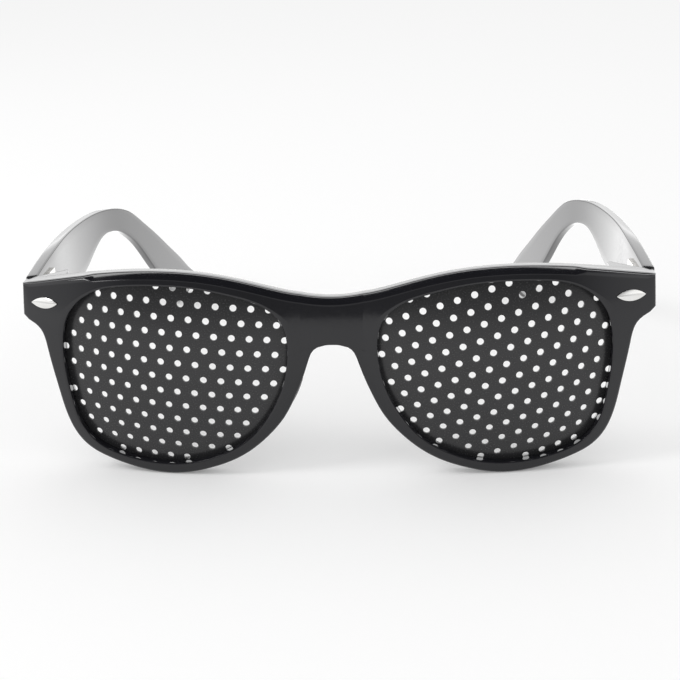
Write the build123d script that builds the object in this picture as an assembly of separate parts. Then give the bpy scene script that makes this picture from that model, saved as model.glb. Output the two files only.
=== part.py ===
from build123d import *
import os
from math import atan2, ceil, cos, hypot, radians, sin, sqrt

# Pinhole glasses: a wrapped plastic front, two perforated sheets in it and two folding temples.
# +X is the wearer's left, +Y runs back along the temples and +Z is up. The origin lies on the
# table, midway across the front and level with its foremost point. Lengths are in millimetres.

os.makedirs("parts", exist_ok=True)

# Front: each half is a slice of a ball, and the bridge is a plain band between two creases.
front_width = 145.6
front_height = 49.0
front_thickness = 4.0
face_radius = 96.0
face_middle_x = 29.0
face_middle_z = 22.7
crease_x = 7.0
brow_round = 1.3
brow_low_z = 36.0
edge_round = 0.5
opening_steps = 48
overrun = 2.0

# Perforated sheets, held in a groove round each opening
sheet_thickness = 0.4
sheet_recess = 2.0
sheet_play = 0.05
groove_depth = 0.9
hole_pitch = 4.0
hole_diameter = 1.55
hole_land = 0.15
sheet_middle_x = 36.0
sheet_middle_z = 24.8
left_rows_turn = 17.1
left_rows_x = -1.0
left_rows_z = 1.26
right_rows_turn = -5.2
right_rows_x = -1.54
right_rows_z = 0.16

# Thick ends of the front, where the hinges sit
pad_depth = 16.9
pad_inner_x = 63.4
pad_bottom_z = 35.9
pad_slope = 1.4

# Nose rests, moulded on the back of the front
nose_rest_x = 10.4
nose_rest_z = 20.4
nose_rest_length = 15.0
nose_rest_width = 4.2
nose_rest_depth = 11.0
nose_rest_lean = 25.0

# Hinges: three knuckles on an upright screw
pivot_inset = 6.0
pivot_setback = 2.4
hinge_middle_z = 40.4
knuckle_radius = 1.4
knuckle_height = 2.0
knuckle_gap = 0.2
leaf_thickness = 0.7
leaf_height = 5.2
front_leaf_reach = 3.2
temple_leaf_length = 10.5
web_width = 1.9
peg_radius = 0.5
front_peg_depth = 2.4
temple_peg_depth = 1.0
peg_play = 0.03
peg_spacing = 3.0
temple_peg_first = 4.6
temple_peg_spacing = 4.2

# Hinge screws
screw_radius = 0.6
screw_play = 0.04
screw_head_radius = 1.25
screw_head_height = 0.7
slot_width = 0.35
slot_depth = 0.35

# Almond rivets on the front and the temples
rivet_length = 7.5
rivet_height = 2.5
rivet_proud = 0.45
rivet_sunk = 0.5
rivet_play = 0.12
rivet_crown_radius = 9.0
rivet_x = 66.6
rivet_z = 40.7
rivet_tilt = -3.0
prong_radius = 0.5
prong_length = 0.7
prong_spacing = 2.6
temple_rivet_setback = 9.5

# Temples
temple_reach = 128.0
temple_height = 46.6
temple_gap = 0.5
temple_flare = 0.2
temple_seat = 2.6
temple_seat_length = 14.0
temple_turn = 1.9
temple_edge_pieces = 8

# Places that follow from the sizes above
half_width = front_width / 2
pivot_x = half_width - pivot_inset
pivot_y = pad_depth + pivot_setback
butt_y = pad_depth + temple_gap
seat_x = half_width + temple_flare - temple_seat
hole_radius = hole_diameter / 2

# Outlines, as shares of the front's half width and height, seen from the front
brow_shares = [(0, 0.863), (0.103, 0.879), (0.206, 0.921), (0.343, 0.973), (0.549, 1), (0.755, 0.975),
               (0.997, 0.906)]
end_corner_share = 0.76
foot_shares = [(0.981, 0.737), (0.941, 0.704), (0.919, 0.612), (0.893, 0.408), (0.867, 0.235),
               (0.842, 0.161), (0.808, 0.109), (0.76, 0.071), (0.687, 0.034), (0.618, 0.01),
               (0.549, 0), (0.48, 0.008), (0.412, 0.033), (0.343, 0.07), (0.275, 0.127), (0.21, 0.21),
               (0.158, 0.302), (0.12, 0.408), (0.089, 0.52), (0.073, 0.59), (0.062, 0.622),
               (0.041, 0.643), (0, 0.651)]
opening_shares = [(0.14, 0.653), (0.155, 0.755), (0.211, 0.839), (0.303, 0.892), (0.412, 0.928),
                  (0.549, 0.941), (0.646, 0.934), (0.727, 0.911), (0.797, 0.85), (0.837, 0.774),
                  (0.857, 0.653), (0.858, 0.52), (0.846, 0.367), (0.824, 0.235), (0.783, 0.153),
                  (0.687, 0.087), (0.549, 0.058), (0.44, 0.076), (0.343, 0.13), (0.268, 0.204),
                  (0.206, 0.318), (0.162, 0.449), (0.143, 0.571)]

# A temple from the side, as shares of its reach and height, and from above, as shares of its
# reach and the front's half width
temple_edge_shares = [(0, 0.96), (0.109, 0.991), (0.25, 1), (0.367, 0.991), (0.461, 0.974),
                      (0.555, 0.929), (0.625, 0.86), (0.688, 0.752), (0.773, 0.592), (0.844, 0.448),
                      (0.922, 0.288), (0.98, 0.165), (0.998, 0.118), (0.985, 0.072), (0.942, 0.019),
                      (0.895, 0), (0.852, 0.041), (0.797, 0.203), (0.727, 0.406), (0.641, 0.64),
                      (0.598, 0.722), (0.555, 0.779), (0.52, 0.802), (0.48, 0.807), (0.441, 0.781),
                      (0.406, 0.744), (0.375, 0.711), (0.336, 0.686), (0.289, 0.68)]
temple_front_shares = [(0.289, 0.68), (0.141, 0.709), (0, 0.773)]
temple_outer_shares = [(0, 1.003), (0.133, 1.004), (0.25, 1.003), (0.367, 0.994), (0.484, 0.969),
                       (0.586, 0.931), (0.695, 0.89), (0.773, 0.861), (0.898, 0.815), (1.03, 0.766)]
temple_inner_shares = [(0.18, 0.9695), (0.25, 0.972), (0.367, 0.965), (0.484, 0.94), (0.586, 0.903),
                       (0.695, 0.862), (0.773, 0.833), (0.898, 0.787), (1.03, 0.738)]


def ball(radius, side):
    """A ball about the middle of curvature of one half of the front."""
    return Pos(side * face_middle_x, face_radius, face_middle_z) * Sphere(radius)


def face_y(x, z, radius):
    """How far back a concentric ball's surface lies at a place on the front."""
    return face_radius - sqrt(radius**2 - (x - face_middle_x) ** 2 - (z - face_middle_z) ** 2)


def upright(shares, width, height):
    return [Vector(x * width, 0, z * height) for x, z in shares]


def depth_block(low_x, high_x, low_z, high_z):
    """A block right through the front between two upright planes."""
    size_x, size_z = high_x - low_x, high_z - low_z
    block = Box(size_x, pad_depth + overrun, size_z, align=(Align.MIN, Align.MIN, Align.MIN))
    return Pos(low_x, -overrun, low_z) * block


def both_halves(shares):
    """Outline points from the wearer's right end to the left end, given the left half."""
    left = upright(shares, half_width, front_height)
    right = [Vector(-p.X, 0, p.Z) for p in left if p.X > 0]
    return right[::-1] + left


def front_outline():
    """The front's outer edge in the XZ plane."""
    brow = Spline(both_halves(brow_shares))
    foot = Spline(both_halves(foot_shares[::-1]))
    outline = [brow, foot]
    for side in (-1, 1):
        top_x, top_z = brow_shares[-1]
        low_x, low_z = foot_shares[0]
        corner = Vector(side * half_width, 0, end_corner_share * front_height)
        outline.append(Line(Vector(side * top_x * half_width, 0, top_z * front_height), corner))
        outline.append(Line(corner, Vector(side * low_x * half_width, 0, low_z * front_height)))
    return make_face(outline)


def opening_outline(side, grow=0.0):
    """One eye opening, or the same edge moved outwards."""
    points = [Vector(side * p.X, 0, p.Z) for p in upright(opening_shares, half_width, front_height)]
    edge = Spline(points, periodic=True)
    if grow:
        middle = make_face(edge).center()
        moved = []
        for step in range(opening_steps):
            point = edge @ (step / opening_steps)
            out = (edge % (step / opening_steps)).cross(Vector(0, 1, 0))
            if out.dot(point - middle) < 0:
                out = -out
            moved.append(point + out * grow)
        edge = Spline(moved, periodic=True)
    return make_face(edge)


def through(face):
    """A face of the XZ plane carried back through the whole front."""
    return Pos(0, -overrun, 0) * extrude(face, amount=pad_depth + 2 * overrun, dir=(0, 1, 0))


def long_edges(piece, upper):
    """The edges that run across the front, along the brow or along the foot, foremost first."""
    picked = []
    for edge in piece.edges():
        box = edge.bounding_box()
        if box.size.X > 2 * crease_x - sheet_play and (box.center().Z > brow_low_z) == upper:
            picked.append(edge)
    return sorted(picked, key=lambda edge: (edge @ 0.5).Y)


def rounded(piece):
    """Round the long edges, the one along the front of the brow most."""
    low_front, low_back = long_edges(piece, False)
    piece = fillet([low_front, low_back, long_edges(piece, True)[-1]], edge_round)
    return fillet(long_edges(piece, True)[0], brow_round)


def bridge(prism):
    """The plain band over the nose, curved only from top to bottom."""
    offset_x = face_middle_x - crease_x
    outer = sqrt(face_radius**2 - offset_x**2)
    inner = sqrt((face_radius - front_thickness) ** 2 - offset_x**2)
    band = Rot(0, 90, 0) * (Cylinder(outer, 2 * crease_x) - Cylinder(inner, 2 * crease_x))
    band = Pos(0, face_radius, face_middle_z) * band
    piece = prism & band & depth_block(-crease_x, crease_x, -overrun, front_height + overrun)
    return rounded(piece)


def left_half(prism):
    """The wearer's left half: a slice of a ball shell with a thick end."""
    shell = ball(face_radius, 1) - ball(face_radius - front_thickness, 1)
    block = depth_block(crease_x, half_width + overrun, -overrun, front_height + overrun)
    return rounded((prism & shell & block) + hinge_pad(prism))


def hinge_pad(prism):
    """The thick end of the front, with a flat back for the hinge and the temple."""
    far_x = half_width + overrun
    plan = Polygon(
        (pad_inner_x - pad_slope, 0),
        (far_x, 0),
        (far_x, pad_depth),
        (pad_inner_x, pad_depth),
        (pad_inner_x - pad_slope, pad_depth - pad_slope),
        align=None,
    )
    block = Pos(0, 0, pad_bottom_z) * extrude(plan, amount=front_height + overrun - pad_bottom_z)
    return prism & block & ball(face_radius, 1)


def nose_rest(side):
    """A leaning egg-shaped pad, half of it behind the rim."""
    start = face_y(nose_rest_x, nose_rest_z, face_radius - front_thickness)
    size = (nose_rest_width / 2, nose_rest_depth - start, nose_rest_length / 2)
    egg = Rot(0, -side * nose_rest_lean, 0) * scale(Sphere(1), by=size)
    egg = Pos(side * nose_rest_x, start, nose_rest_z) * egg
    return egg & ball(face_radius - sheet_recess, side)


def almond(grow=0.0):
    """The rivets' pointed oval."""
    half_length = rivet_length / 2 + grow
    half_height = rivet_height / 2 + grow
    upper = ThreePointArc((-half_length, 0), (0, half_height), (half_length, 0))
    lower = ThreePointArc((half_length, 0), (0, -half_height), (-half_length, 0))
    return make_face([upper, lower])


def rivet_pocket():
    """What a rivet's seat takes out of the plastic, with +Z outwards from the surface."""
    pocket = extrude(almond(rivet_play), amount=rivet_sunk + overrun)
    pocket = Pos(0, 0, -rivet_sunk) * pocket
    for end in (-1, 1):
        bore = Cylinder(prong_radius + peg_play, prong_length + peg_play + rivet_sunk)
        pocket += Pos(end * prong_spacing / 2, 0, -(prong_length + peg_play + rivet_sunk) / 2) * bore
    return pocket


def rivet():
    """A crowned almond head on two prongs."""
    head = Pos(0, 0, -rivet_sunk) * extrude(almond(), amount=rivet_sunk + rivet_proud)
    crown = Pos(0, 0, rivet_proud - rivet_crown_radius) * Rot(0, 90, 0) * Cylinder(
        rivet_crown_radius, rivet_length + overrun
    )
    head &= crown
    for end in (-1, 1):
        prong = Cylinder(prong_radius, prong_length)
        head += Pos(end * prong_spacing / 2, 0, -rivet_sunk - prong_length / 2) * prong
    return head


def front_rivet_place(side):
    """Where a front rivet sits, square to the curved face."""
    x, z = rivet_x, rivet_z
    y = face_y(x, z, face_radius)
    out = Vector(side * (x - face_middle_x), y - face_radius, z - face_middle_z)
    level = Plane(origin=(side * x, y, z), x_dir=Vector(0, 0, 1).cross(out), z_dir=out)
    return level * Rot(0, 0, side * rivet_tilt)


def temple_rivet_place():
    """Where the left temple's rivet sits, square to its outer side."""
    outer = temple_outer_edge()
    y = butt_y + temple_rivet_setback
    spot = outer & Line((0, y, 0), (2 * half_width, y, 0))
    along = outer.tangent_at(spot)
    place = Vector(spot.X, spot.Y, hinge_middle_z)
    return Plane(origin=place, x_dir=along, z_dir=along.cross(Vector(0, 0, 1)))


def temple_outer_edge():
    points = [Vector(x * half_width, butt_y + y * temple_reach, 0) for y, x in temple_outer_shares]
    return Spline(points)


def left_temple_blank():
    """The left temple: its side outline crossed with its outline from above."""
    edge = [Vector(0, butt_y + y * temple_reach, z * temple_height) for y, z in temple_edge_shares]
    front = [Vector(0, butt_y + y * temple_reach, z * temple_height) for y, z in temple_front_shares]
    whole, count = Spline(edge), temple_edge_pieces
    pieces = [whole.trim(step / count, (step + 1) / count) for step in range(count)]
    side = make_face(pieces + [ThreePointArc(*front), Line(front[-1], edge[0])])
    outer = temple_outer_edge()
    inner_points = [Vector(x * half_width, butt_y + y * temple_reach, 0) for y, x in temple_inner_shares]
    seat_end = Vector(seat_x, butt_y + temple_seat_length, 0)
    last = (inner_points[-1] - inner_points[-2]).normalized()
    inner = Spline([seat_end] + inner_points, tangents=((0, 1, 0), last))
    seat = Line((seat_x, butt_y, 0), seat_end)
    plan = make_face([outer, Line(outer @ 1, inner @ 1), inner, seat, Line(seat @ 0, outer @ 0)])
    block = extrude(side, amount=half_width + overrun, dir=(1, 0, 0))
    band = Pos(0, 0, -overrun) * extrude(plan, amount=temple_height + 2 * overrun)
    return block & band


def knuckle(low, high, bore):
    """One hinge barrel about the Z axis, between two heights."""
    barrel = Cylinder(knuckle_radius, high - low) - Cylinder(bore, high - low)
    return Pos(pivot_x, pivot_y, (low + high) / 2) * barrel


def knuckle_levels():
    """The heights of the three barrels, lowest first."""
    half = knuckle_height / 2
    low = hinge_middle_z - half
    high = hinge_middle_z + half
    return [
        (low - knuckle_gap - knuckle_height, low - knuckle_gap),
        (low, high),
        (high + knuckle_gap, high + knuckle_gap + knuckle_height),
    ]


def left_front_hinge():
    """The fixed leaf with its two outer barrels and the pegs that hold it in the front."""
    bore = screw_radius + screw_play
    leaf_x = pivot_x - front_leaf_reach
    corner = (leaf_x, pad_depth, hinge_middle_z - leaf_height / 2)
    size = (front_leaf_reach + knuckle_radius, leaf_thickness, leaf_height)
    leaf = Pos(*corner) * Box(*size, align=(Align.MIN, Align.MIN, Align.MIN))
    levels = knuckle_levels()
    for low, high in (levels[0], levels[2]):
        web = Box(web_width, pivot_setback, high - low, align=(Align.CENTER, Align.MIN, Align.MIN))
        neck = Pos(pivot_x, pad_depth, low) * web
        neck -= Pos(pivot_x, pivot_y, (low + high) / 2) * Cylinder(bore, high - low)
        leaf += knuckle(low, high, bore) + neck
    for step in (-1, 1):
        leaf += front_peg(peg_radius, front_peg_depth, step)
    return leaf


def front_peg(radius, depth, step):
    """One peg, or its hole, running forward from the hinge pad."""
    peg = Rot(90, 0, 0) * Cylinder(radius, depth, align=(Align.CENTER, Align.CENTER, Align.MIN))
    x = pivot_x - front_leaf_reach + knuckle_radius
    return Pos(x, pad_depth, hinge_middle_z + step * peg_spacing / 2) * peg


def temple_peg(radius, depth, step):
    """One peg, or its hole, running outward from the temple's inner seat."""
    peg = Rot(0, 90, 0) * Cylinder(radius, depth, align=(Align.CENTER, Align.CENTER, Align.MIN))
    y = pivot_y + temple_peg_first + step * temple_peg_spacing
    return Pos(seat_x, y, hinge_middle_z) * peg


def left_temple_hinge():
    """The moving leaf with the middle barrel."""
    bore = screw_radius + screw_play
    low, high = knuckle_levels()[1]
    leaf_x = seat_x - leaf_thickness
    plate = Box(leaf_thickness, temple_leaf_length, leaf_height, align=(Align.MIN, Align.MIN, Align.CENTER))
    leaf = Pos(leaf_x, pivot_y + knuckle_radius - web_width / 2, hinge_middle_z) * plate
    web = Box(seat_x - pivot_x, web_width / 2, high - low, align=(Align.MIN, Align.MIN, Align.MIN))
    neck = Pos(pivot_x, pivot_y + knuckle_radius - web_width / 2, low) * web
    leaf += neck + knuckle(low, high, bore)
    for step in (0, 1):
        leaf += temple_peg(peg_radius, temple_peg_depth, step)
    return leaf - Pos(pivot_x, pivot_y, hinge_middle_z) * Cylinder(bore, leaf_height)


def hinge_screw():
    """The slotted screw that joins the three barrels."""
    levels = knuckle_levels()
    low, high = levels[0][0], levels[2][1]
    shank = Pos(0, 0, low) * Cylinder(screw_radius, high - low, align=(Align.CENTER, Align.CENTER, Align.MIN))
    head = Cylinder(screw_head_radius, screw_head_height, align=(Align.CENTER, Align.CENTER, Align.MIN))
    head = fillet(head.edges().group_by(Axis.Z)[-1], slot_depth)
    slot = Box(2 * screw_head_radius, slot_width, slot_depth, align=(Align.CENTER, Align.CENTER, Align.MAX))
    head -= Pos(0, 0, screw_head_height) * slot
    return Pos(pivot_x, pivot_y, 0) * (shank + Pos(0, 0, high) * head)


def swung(shape, side):
    """A left temple piece put on its side of the front and turned to where it stands."""
    if side < 0:
        shape = mirror(shape, about=Plane.YZ)
    hinge = Pos(side * pivot_x, pivot_y, 0)
    return hinge * Rot(0, 0, temple_turn) * Pos(-side * pivot_x, -pivot_y, 0) * shape


def front_frame():
    """The one-piece moulded front."""
    prism = through(front_outline())
    half = left_half(prism)
    body = bridge(prism) + half + mirror(half, about=Plane.YZ)
    for side in (-1, 1):
        body -= through(opening_outline(side))
    for side in (-1, 1):
        rim = body.edges().filter_by(lambda edge: edge.length > front_width).sort_by(Axis.Y)[0]
        body = fillet(rim, edge_round)
    for side in (-1, 1):
        body += nose_rest(side)
    for side in (-1, 1):
        groove_front = face_radius - sheet_recess + sheet_play
        groove_back = face_radius - sheet_recess - sheet_thickness - sheet_play
        groove = through(opening_outline(side, groove_depth))
        body -= groove & (ball(groove_front, side) - ball(groove_back, side))
        body -= front_rivet_place(side) * rivet_pocket()
        for step in (-1, 1):
            hole = front_peg(peg_radius + peg_play, front_peg_depth + peg_play, step)
            body -= hole if side > 0 else mirror(hole, about=Plane.YZ)
    return body


def sheet_frame(side):
    """The sheet's middle: a plane that touches its front, with X across and Y up."""
    x, z = sheet_middle_x, sheet_middle_z
    radius = face_radius - sheet_recess
    y = face_y(x, z, radius)
    out = Vector(side * (x - face_middle_x), y - face_radius, z - face_middle_z)
    return Plane(origin=(side * x, y, z), x_dir=Vector(0, 0, 1).cross(out), z_dir=out)


def row_places(turn, shift_x, shift_z):
    """Hole places on the flat sheet: rows of equal triangles over more than the whole lens."""
    reach = ceil(half_width / hole_pitch)
    places = []
    for row in range(-reach, reach + 1):
        for column in range(-reach, reach + 1):
            along = (column + row / 2) * hole_pitch
            across = row * hole_pitch * sqrt(3) / 2
            c, s = cos(radians(turn)), sin(radians(turn))
            places.append((shift_x + along * c - across * s, shift_z + along * s + across * c))
    return places


def perforated_sheet(side, turn, shift_x, shift_z):
    """One dark sheet, pressed to the front's curve, with round holes square to it."""
    radius = face_radius - sheet_recess
    edge = opening_outline(side, groove_depth - sheet_play)
    sheet = through(edge) & (ball(radius, side) - ball(radius - sheet_thickness, side))
    middle = sheet_frame(side)
    inside = opening_outline(side, groove_depth - sheet_play - hole_land - hole_radius)
    bores = []
    for u, v in row_places(turn, shift_x, shift_z):
        away = hypot(u, v) / radius
        bearing = atan2(v, u)
        if away > radians(45):
            continue
        level = radius * (cos(away) - 1)
        spot = Vector(radius * sin(away) * cos(bearing), radius * sin(away) * sin(bearing), level)
        place = middle.from_local_coords(spot)
        flat = Vector(place.X, 0, place.Z)
        if not inside.is_inside(flat):
            continue
        ball_middle = Vector(side * face_middle_x, face_radius, face_middle_z)
        bore = Plane(origin=place, z_dir=place - ball_middle) * Cylinder(hole_radius, 4 * sheet_thickness)
        bores.append(bore)
    return sheet - bores


def left_temple():
    """The left temple with its peg holes and rivet pocket."""
    body = left_temple_blank()
    for step in (0, 1):
        body -= temple_peg(peg_radius + peg_play, temple_peg_depth + peg_play, step)
    return body - temple_rivet_place() * rivet_pocket()


def write(name, shape):
    export_step(shape, f"parts/{name}.step")


write("front_frame", front_frame())
write("left_lens", perforated_sheet(1, left_rows_turn, left_rows_x, left_rows_z))
write("right_lens", perforated_sheet(-1, right_rows_turn, right_rows_x, right_rows_z))

temple = left_temple()
temple_leaf = left_temple_hinge()
temple_rivet = temple_rivet_place() * rivet()
for side, name in ((1, "left"), (-1, "right")):
    fixed_leaf = left_front_hinge() if side > 0 else mirror(left_front_hinge(), about=Plane.YZ)
    screw = hinge_screw() if side > 0 else mirror(hinge_screw(), about=Plane.YZ)
    write(f"{name}_front_rivet", front_rivet_place(side) * rivet())
    write(f"{name}_front_hinge", fixed_leaf)
    write(f"{name}_hinge_screw", screw)
    write(f"{name}_temple", swung(temple, side))
    write(f"{name}_temple_hinge", swung(temple_leaf, side))
    write(f"{name}_temple_rivet", swung(temple_rivet, side))
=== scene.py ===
from math import acos, atan2, cos, hypot, pi, radians, sin, sqrt, tau

import bmesh
import bpy
import numpy as np
from mathutils import Matrix, Vector


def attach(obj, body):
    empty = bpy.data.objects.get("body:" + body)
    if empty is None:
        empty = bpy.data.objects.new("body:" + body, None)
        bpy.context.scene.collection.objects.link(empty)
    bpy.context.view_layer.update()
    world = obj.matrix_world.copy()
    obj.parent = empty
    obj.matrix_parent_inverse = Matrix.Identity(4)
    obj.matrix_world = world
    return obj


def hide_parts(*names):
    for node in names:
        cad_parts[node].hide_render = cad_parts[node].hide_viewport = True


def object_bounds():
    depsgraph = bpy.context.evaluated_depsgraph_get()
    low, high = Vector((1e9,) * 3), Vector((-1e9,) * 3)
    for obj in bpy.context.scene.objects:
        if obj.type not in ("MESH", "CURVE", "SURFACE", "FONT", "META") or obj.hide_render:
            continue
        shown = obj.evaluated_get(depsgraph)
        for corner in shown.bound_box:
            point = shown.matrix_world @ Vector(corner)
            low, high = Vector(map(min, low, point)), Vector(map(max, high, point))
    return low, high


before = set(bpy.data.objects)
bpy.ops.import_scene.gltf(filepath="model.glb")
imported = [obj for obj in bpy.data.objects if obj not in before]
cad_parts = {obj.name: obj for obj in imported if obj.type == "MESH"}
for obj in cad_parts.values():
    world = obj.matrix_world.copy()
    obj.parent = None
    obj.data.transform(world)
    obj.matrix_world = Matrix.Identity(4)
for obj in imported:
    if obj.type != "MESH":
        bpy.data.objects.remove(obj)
cadBounds = [list(corner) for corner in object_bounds()]
scene = bpy.context.scene
mm = 0.001  # shapes are in millimetres and scaled once, in makePiece
up = Vector((0, 0, 1))


# camera at the photograph's place, on a 680 x 680 image
view = {
    "place": (19.18, -235.83, 123.05),
    "forward": (-0.068, 0.9339, -0.3511),
    "roll": 2.08,
    "lens": 60.63,
    "sensor": 36.0,
}


def addCamera():
    data = bpy.data.cameras.new("photoCamera")
    data.lens = view["lens"]
    data.sensor_width = view["sensor"]
    data.sensor_fit = "HORIZONTAL"
    data.clip_start = 0.01
    camera = bpy.data.objects.new("photoCamera", data)
    forward = Vector(view["forward"]).normalized()
    level = forward.cross(up).normalized()
    tall = level.cross(forward)
    turn = radians(view["roll"])
    right = level * cos(turn) - tall * sin(turn)
    top = level * sin(turn) + tall * cos(turn)
    pose = Matrix((right, top, -forward)).transposed().to_4x4()
    pose.translation = Vector(view["place"]) * mm
    camera.matrix_world = pose
    scene.collection.objects.link(camera)
    scene.camera = camera


addCamera()
scene.view_settings.view_transform = "Standard"
print("camera set")


def smoothLine(points, steps, closed=False):
    # natural cubic through the points, spaced by chord length
    pts = np.array(points, float)
    if closed:
        pts = np.vstack([pts, pts[:1]])
    run = np.hypot(*np.diff(pts, axis=0).T)
    t = np.concatenate([[0], np.cumsum(run)])
    count = len(pts)
    left = np.zeros((count, count))
    right = np.zeros((count, 2))
    for i in range(1, count - 1):
        left[i, i - 1 : i + 2] = run[i - 1], 2 * (run[i - 1] + run[i]), run[i]
        right[i] = 6 * ((pts[i + 1] - pts[i]) / run[i] - (pts[i] - pts[i - 1]) / run[i - 1])
    if closed:
        left[0, 0], left[0, -1] = 1, -1
        left[-1, 0], left[-1, 1], left[-1, -2] = 2 * (run[0] + run[-1]), run[0], run[-1]
        right[-1] = 6 * ((pts[1] - pts[0]) / run[0] - (pts[-1] - pts[-2]) / run[-1])
    else:
        left[0, 0] = left[-1, -1] = 1
    bend = np.linalg.solve(left, right)
    places = np.linspace(0, t[-1], steps)
    seg = np.clip(np.searchsorted(t, places, side="right") - 1, 0, count - 2)
    h = run[seg][:, None]
    a = (t[seg + 1] - places)[:, None]
    b = (places - t[seg])[:, None]
    flat = (pts[seg] / h - bend[seg] * h / 6) * a + (pts[seg + 1] / h - bend[seg + 1] * h / 6) * b
    return flat + bend[seg] * a**3 / (6 * h) + bend[seg + 1] * b**3 / (6 * h)


def evenSteps(line, step):
    run = np.concatenate([[0], np.cumsum(np.hypot(*np.diff(line, axis=0).T))])
    places = np.linspace(0, run[-1], max(2, int(round(run[-1] / step)) + 1))
    return np.column_stack([np.interp(places, run, line[:, 0]), np.interp(places, run, line[:, 1])])


def atShare(line, share):
    run = np.concatenate([[0], np.cumsum(np.hypot(*np.diff(line, axis=0).T))])
    return np.array([np.interp(share * run[-1], run, line[:, i]) for i in (0, 1)])


def meshFrom(name, points, faces):
    mesh = bpy.data.meshes.new(name)
    mesh.from_pydata([tuple(p) for p in points], [], faces)
    mesh.update()
    return mesh


def bands(rings, size, closed=False):
    # four-sided faces between each ring of points and the next
    faces = []
    for i in range(rings if closed else rings - 1):
        j = (i + 1) % rings
        for k in range(size):
            m = (k + 1) % size
            faces.append((i * size + k, j * size + k, j * size + m, i * size + m))
    return faces


def unit(value):
    return min(max(value, 0), 1)


weld = {"merge": 2e-6, "sliver": 1e-6}  # in metres


def makePiece(name, mesh, body, finish, nodes, sharpAngle=30, extraSharp=None):
    # millimetres to metres, closed and facing out, sharp where it is sharp
    work = bmesh.new()
    work.from_mesh(mesh)
    bmesh.ops.scale(work, vec=(mm, mm, mm), verts=work.verts)
    bmesh.ops.remove_doubles(work, verts=work.verts, dist=weld["merge"])
    bmesh.ops.dissolve_degenerate(work, edges=work.edges, dist=weld["sliver"])
    bmesh.ops.recalc_face_normals(work, faces=work.faces)
    limit = radians(sharpAngle)
    for face in work.faces:
        face.smooth = True
    for edge in work.edges:
        edge.smooth = len(edge.link_faces) == 2 and edge.calc_face_angle(0) < limit
        if extraSharp and extraSharp(edge):
            edge.smooth = False
    openEdges = sum(1 for edge in work.edges if len(edge.link_faces) != 2)
    work.to_mesh(mesh)
    work.free()
    mesh.name = name
    mesh.materials.clear()
    mesh.materials.append(materials[finish])
    piece = bpy.data.objects.new(name, mesh)
    scene.collection.objects.link(piece)
    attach(piece, body)
    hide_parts(*nodes)
    print(f"{name}: {len(mesh.polygons)} faces, {openEdges} open edges")


def addNode(tree, kind, inputs=None, **settings):
    node = tree.nodes.new(kind)
    for key, value in settings.items():
        setattr(node, key, value)
    for key, value in (inputs or {}).items():
        if isinstance(value, bpy.types.NodeSocket):
            tree.links.new(value, node.inputs[key])
        else:
            node.inputs[key].default_value = value
    return node


def toolsFor(tree):
    # short words for the nodes of one tree
    def put(kind, inputs=None, **settings):
        return addNode(tree, kind, inputs, **settings).outputs[0]

    def number(operation, a, b=0.0):
        return put("ShaderNodeMath", {0: a, 1: b}, operation=operation)

    return put, number


def makeMaterial(name, finish):
    # one maker for all finishes: grain in the gloss, a little relief, a colour that drifts
    material = bpy.data.materials.new(name)
    material.use_nodes = True
    tree = material.node_tree
    put, _ = toolsFor(tree)
    shader = tree.nodes["Principled BSDF"]
    where = addNode(tree, "ShaderNodeTexCoord").outputs["Object"]
    stretched = put("ShaderNodeMapping", {"Vector": where, "Scale": finish["stretch"]})
    grain = put(
        "ShaderNodeTexNoise",
        {"Vector": stretched, "Scale": finish["grainScale"], "Detail": 4.0, "Roughness": 0.6},
    )
    cloud = put(
        "ShaderNodeTexNoise", {"Vector": where, "Scale": finish["cloudScale"], "Detail": 2.0}
    )
    smoothest, roughest = finish["rough"]
    gloss = put(
        "ShaderNodeMapRange",
        {
            "Value": grain,
            "From Min": 0.3,
            "From Max": 0.7,
            "To Min": smoothest,
            "To Max": roughest,
        },
    )
    # the colour sockets of a Mix node share their names with the plain ones, so they go by number
    tint = addNode(
        tree,
        "ShaderNodeMix",
        {0: cloud, 6: (*finish["dark"], 1), 7: (*finish["light"], 1)},
        data_type="RGBA",
    )
    relief = put(
        "ShaderNodeBump",
        {"Height": grain, "Strength": finish["relief"], "Distance": finish["reliefDepth"]},
    )
    tree.links.new(gloss, shader.inputs["Roughness"])
    tree.links.new(tint.outputs[2], shader.inputs["Base Color"])
    tree.links.new(relief, shader.inputs["Normal"])
    shader.inputs["Metallic"].default_value = finish["metal"]
    shader.inputs["IOR"].default_value = finish["ior"]
    return material


finishes = {
    "glossBlack": {
        "dark": (0.007, 0.007, 0.009),
        "light": (0.011, 0.011, 0.0135),
        "rough": (0.07, 0.13),
        "grainScale": 900.0,
        "cloudScale": 60.0,
        "stretch": (1, 1, 1),
        "relief": 0.04,
        "reliefDepth": 0.00002,
        "metal": 0.0,
        "ior": 1.5,
    },
    "satinSheet": {
        "dark": (0.017, 0.017, 0.018),
        "light": (0.023, 0.023, 0.0245),
        "rough": (0.2, 0.3),
        "grainScale": 2600.0,
        "cloudScale": 90.0,
        "stretch": (1, 1, 1),
        "relief": 0.12,
        "reliefDepth": 0.00002,
        "metal": 0.0,
        "ior": 1.5,
    },
    "brightRivet": {
        "dark": (0.74, 0.73, 0.71),
        "light": (0.86, 0.86, 0.85),
        "rough": (0.1, 0.18),
        "grainScale": 1500.0,
        "cloudScale": 400.0,
        "stretch": (1, 1, 4),
        "relief": 0.05,
        "reliefDepth": 0.00001,
        "metal": 1.0,
        "ior": 1.5,
    },
    "hingeMetal": {
        "dark": (0.46, 0.45, 0.43),
        "light": (0.62, 0.61, 0.59),
        "rough": (0.24, 0.38),
        "grainScale": 1400.0,
        "cloudScale": 300.0,
        "stretch": (1, 1, 8),
        "relief": 0.1,
        "reliefDepth": 0.00002,
        "metal": 1.0,
        "ior": 1.5,
    },
}
materials = {name: makeMaterial(name, finish) for name, finish in finishes.items()}
print("materials made")


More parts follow.
